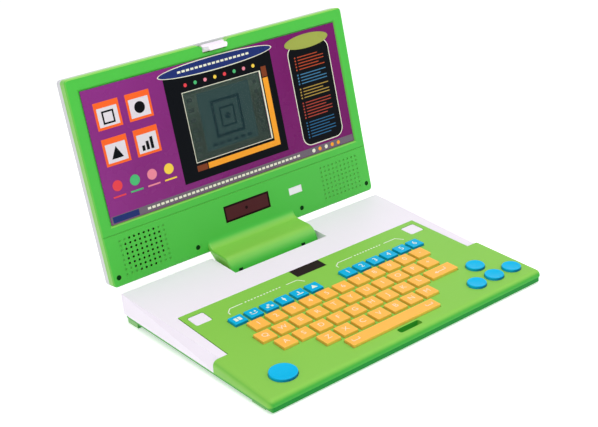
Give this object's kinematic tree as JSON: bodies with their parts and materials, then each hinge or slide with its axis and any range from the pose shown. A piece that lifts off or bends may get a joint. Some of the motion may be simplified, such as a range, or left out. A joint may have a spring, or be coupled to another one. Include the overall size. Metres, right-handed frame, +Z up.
{
  "type": "toy laptop computer",
  "caption": "Clamshell toy laptop computer with a hinged screen lid, a sprung latch and a lift-out wireless keyboard with square keys and round buttons.",
  "frame": {"origin": "on the table under the middle of the whole object with its lid open as in the picture", "axes": "+X to the user's right, +Y from the front edge towards the lid, +Z up"},
  "size_m": [0.3092, 0.2776, 0.2253],
  "materials": {
    "lid_green": "glossy moulded plastic",
    "keyboard_green": "satin moulded plastic",
    "tray_green": "satin moulded plastic",
    "white_plastic": "satin moulded plastic",
    "orange_keys": "satin moulded plastic",
    "blue_keys": "satin moulded plastic",
    "blue_buttons": "glossy moulded plastic",
    "printed_panel": "printed sheet",
    "clear_window": "clear acrylic",
    "lcd": "reflective liquid crystal cell",
    "dark_window": "infrared filter plastic",
    "white_lens": "diffusing lens",
    "circuit_board": "laminate",
    "electronics": "moulded package",
    "mat_rubber": "silicone",
    "foot_rubber": "moulded rubber",
    "steel": "plated steel",
    "washer": "low-friction plastic",
    "paper": "pressed paper"
  },
  "bodies": {
    "base": {"bottom_tray": "tray_green", "rear_cover": "white_plastic", "locating_posts": "white_plastic", "hinge_pins": "steel", "hinge_washers": "washer", "battery_door": "tray_green", "battery_cells": "steel", "battery_contacts": "steel", "base_screws": "steel", "front_feet": "foot_rubber", "rear_feet": "foot_rubber"},
    "lid": {"lid_bezel": "lid_green", "lid_back": "white_plastic", "hinge_hood": "lid_green", "art_panel": "printed_panel", "lcd_window": "clear_window", "lcd_glass": "lcd", "main_board": "circuit_board", "speaker_frame": "steel", "speaker_cone": "paper", "ir_receiver_window": "dark_window", "ir_receiver": "electronics", "indicator_lens": "white_lens", "lid_screws": "steel", "latch_pin": "steel"},
    "latch": {"latch_hook": "white_plastic"},
    "keyboard": {"keyboard_top": "keyboard_green", "keyboard_bottom": "keyboard_green", "key_mat": "mat_rubber", "keyboard_board": "circuit_board", "ir_emitter_window": "dark_window", "ir_emitter": "electronics", "keyboard_cells": "steel", "keyboard_screws": "steel"},
    "letter_row_1_body": {"letter_row_1": "orange_keys"},
    "letter_row_2_body": {"letter_row_2": "orange_keys"},
    "letter_row_3_body": {"letter_row_3": "orange_keys"},
    "letter_row_4_body": {"letter_row_4": "orange_keys"},
    "function_key_1_body": {"function_key_1": "blue_keys"},
    "function_key_2_body": {"function_key_2": "blue_keys"},
    "function_key_3_body": {"function_key_3": "blue_keys"},
    "function_key_4_body": {"function_key_4": "blue_keys"},
    "function_key_5_body": {"function_key_5": "blue_keys"},
    "function_key_6_body": {"function_key_6": "blue_keys"},
    "number_key_1_body": {"number_key_1": "blue_keys"},
    "number_key_2_body": {"number_key_2": "blue_keys"},
    "number_key_3_body": {"number_key_3": "blue_keys"},
    "number_key_4_body": {"number_key_4": "blue_keys"},
    "number_key_5_body": {"number_key_5": "blue_keys"},
    "number_key_6_body": {"number_key_6": "blue_keys"},
    "enter_key_body": {"enter_key": "orange_keys"},
    "space_bar_body": {"space_bar": "orange_keys"},
    "action_button_body": {"action_button": "blue_buttons"},
    "arrow_up_body": {"arrow_up": "blue_buttons"},
    "arrow_left_body": {"arrow_left": "blue_buttons"},
    "arrow_down_body": {"arrow_down": "blue_buttons"},
    "arrow_right_body": {"arrow_right": "blue_buttons"}
  },
  "joints": [
    {"name": "lid_hinge", "type": "hinge", "parent": "base", "child": "lid", "pos_m": [0, 0.07647, 0.01945], "axis": [1, 0, 0], "range_deg": [-8, 102.6]},
    {"name": "latch_pivot", "type": "hinge", "parent": "lid", "child": "latch", "pos_m": [0, 0.12287, 0.22071], "axis": [1, 0, 0], "range_deg": [-8, 0], "stiffness_Nm_per_rad": 0.05, "springref_deg": 5.73},
    {"name": "keyboard_lift", "type": "slide", "parent": "base", "child": "keyboard", "axis": [0, 0.0833, -0.9965], "range_m": [-0.03, 0]},
    {"name": "letter_row_1_press", "type": "slide", "parent": "keyboard", "child": "letter_row_1_body", "axis": [0, 0.0833, -0.9965], "range_m": [0, 0.0012], "stiffness_N_per_m": 1500, "springref_m": -0.0005},
    {"name": "letter_row_2_press", "type": "slide", "parent": "keyboard", "child": "letter_row_2_body", "axis": [0, 0.0833, -0.9965], "range_m": [0, 0.0012], "stiffness_N_per_m": 1500, "springref_m": -0.0005},
    {"name": "letter_row_3_press", "type": "slide", "parent": "keyboard", "child": "letter_row_3_body", "axis": [0, 0.0833, -0.9965], "range_m": [0, 0.0012], "stiffness_N_per_m": 1500, "springref_m": -0.0005},
    {"name": "letter_row_4_press", "type": "slide", "parent": "keyboard", "child": "letter_row_4_body", "axis": [0, 0.0833, -0.9965], "range_m": [0, 0.0012], "stiffness_N_per_m": 1500, "springref_m": -0.0005},
    {"name": "function_key_1_press", "type": "slide", "parent": "keyboard", "child": "function_key_1_body", "axis": [0, 0.0833, -0.9965], "range_m": [0, 0.0012], "stiffness_N_per_m": 500, "springref_m": -0.0005},
    {"name": "function_key_2_press", "type": "slide", "parent": "keyboard", "child": "function_key_2_body", "axis": [0, 0.0833, -0.9965], "range_m": [0, 0.0012], "stiffness_N_per_m": 500, "springref_m": -0.0005},
    {"name": "function_key_3_press", "type": "slide", "parent": "keyboard", "child": "function_key_3_body", "axis": [0, 0.0833, -0.9965], "range_m": [0, 0.0012], "stiffness_N_per_m": 500, "springref_m": -0.0005},
    {"name": "function_key_4_press", "type": "slide", "parent": "keyboard", "child": "function_key_4_body", "axis": [0, 0.0833, -0.9965], "range_m": [0, 0.0012], "stiffness_N_per_m": 500, "springref_m": -0.0005},
    {"name": "function_key_5_press", "type": "slide", "parent": "keyboard", "child": "function_key_5_body", "axis": [0, 0.0833, -0.9965], "range_m": [0, 0.0012], "stiffness_N_per_m": 500, "springref_m": -0.0005},
    {"name": "function_key_6_press", "type": "slide", "parent": "keyboard", "child": "function_key_6_body", "axis": [0, 0.0833, -0.9965], "range_m": [0, 0.0012], "stiffness_N_per_m": 500, "springref_m": -0.0005},
    {"name": "number_key_1_press", "type": "slide", "parent": "keyboard", "child": "number_key_1_body", "axis": [0, 0.0833, -0.9965], "range_m": [0, 0.0012], "stiffness_N_per_m": 500, "springref_m": -0.0005},
    {"name": "number_key_2_press", "type": "slide", "parent": "keyboard", "child": "number_key_2_body", "axis": [0, 0.0833, -0.9965], "range_m": [0, 0.0012], "stiffness_N_per_m": 500, "springref_m": -0.0005},
    {"name": "number_key_3_press", "type": "slide", "parent": "keyboard", "child": "number_key_3_body", "axis": [0, 0.0833, -0.9965], "range_m": [0, 0.0012], "stiffness_N_per_m": 500, "springref_m": -0.0005},
    {"name": "number_key_4_press", "type": "slide", "parent": "keyboard", "child": "number_key_4_body", "axis": [0, 0.0833, -0.9965], "range_m": [0, 0.0012], "stiffness_N_per_m": 500, "springref_m": -0.0005},
    {"name": "number_key_5_press", "type": "slide", "parent": "keyboard", "child": "number_key_5_body", "axis": [0, 0.0833, -0.9965], "range_m": [0, 0.0012], "stiffness_N_per_m": 500, "springref_m": -0.0005},
    {"name": "number_key_6_press", "type": "slide", "parent": "keyboard", "child": "number_key_6_body", "axis": [0, 0.0833, -0.9965], "range_m": [0, 0.0012], "stiffness_N_per_m": 500, "springref_m": -0.0005},
    {"name": "enter_key_press", "type": "slide", "parent": "keyboard", "child": "enter_key_body", "axis": [0, 0.0833, -0.9965], "range_m": [0, 0.0012], "stiffness_N_per_m": 500, "springref_m": -0.0005},
    {"name": "space_bar_press", "type": "slide", "parent": "keyboard", "child": "space_bar_body", "axis": [0, 0.0833, -0.9965], "range_m": [0, 0.0012], "stiffness_N_per_m": 500, "springref_m": -0.0005},
    {"name": "action_button_press", "type": "slide", "parent": "keyboard", "child": "action_button_body", "axis": [0, 0.0833, -0.9965], "range_m": [0, 0.0012], "stiffness_N_per_m": 500, "springref_m": -0.0005},
    {"name": "arrow_up_press", "type": "slide", "parent": "keyboard", "child": "arrow_up_body", "axis": [0, 0.0833, -0.9965], "range_m": [0, 0.0012], "stiffness_N_per_m": 500, "springref_m": -0.0005},
    {"name": "arrow_left_press", "type": "slide", "parent": "keyboard", "child": "arrow_left_body", "axis": [0, 0.0833, -0.9965], "range_m": [0, 0.0012], "stiffness_N_per_m": 500, "springref_m": -0.0005},
    {"name": "arrow_down_press", "type": "slide", "parent": "keyboard", "child": "arrow_down_body", "axis": [0, 0.0833, -0.9965], "range_m": [0, 0.0012], "stiffness_N_per_m": 500, "springref_m": -0.0005},
    {"name": "arrow_right_press", "type": "slide", "parent": "keyboard", "child": "arrow_right_body", "axis": [0, 0.0833, -0.9965], "range_m": [0, 0.0012], "stiffness_N_per_m": 500, "springref_m": -0.0005}
  ]
}
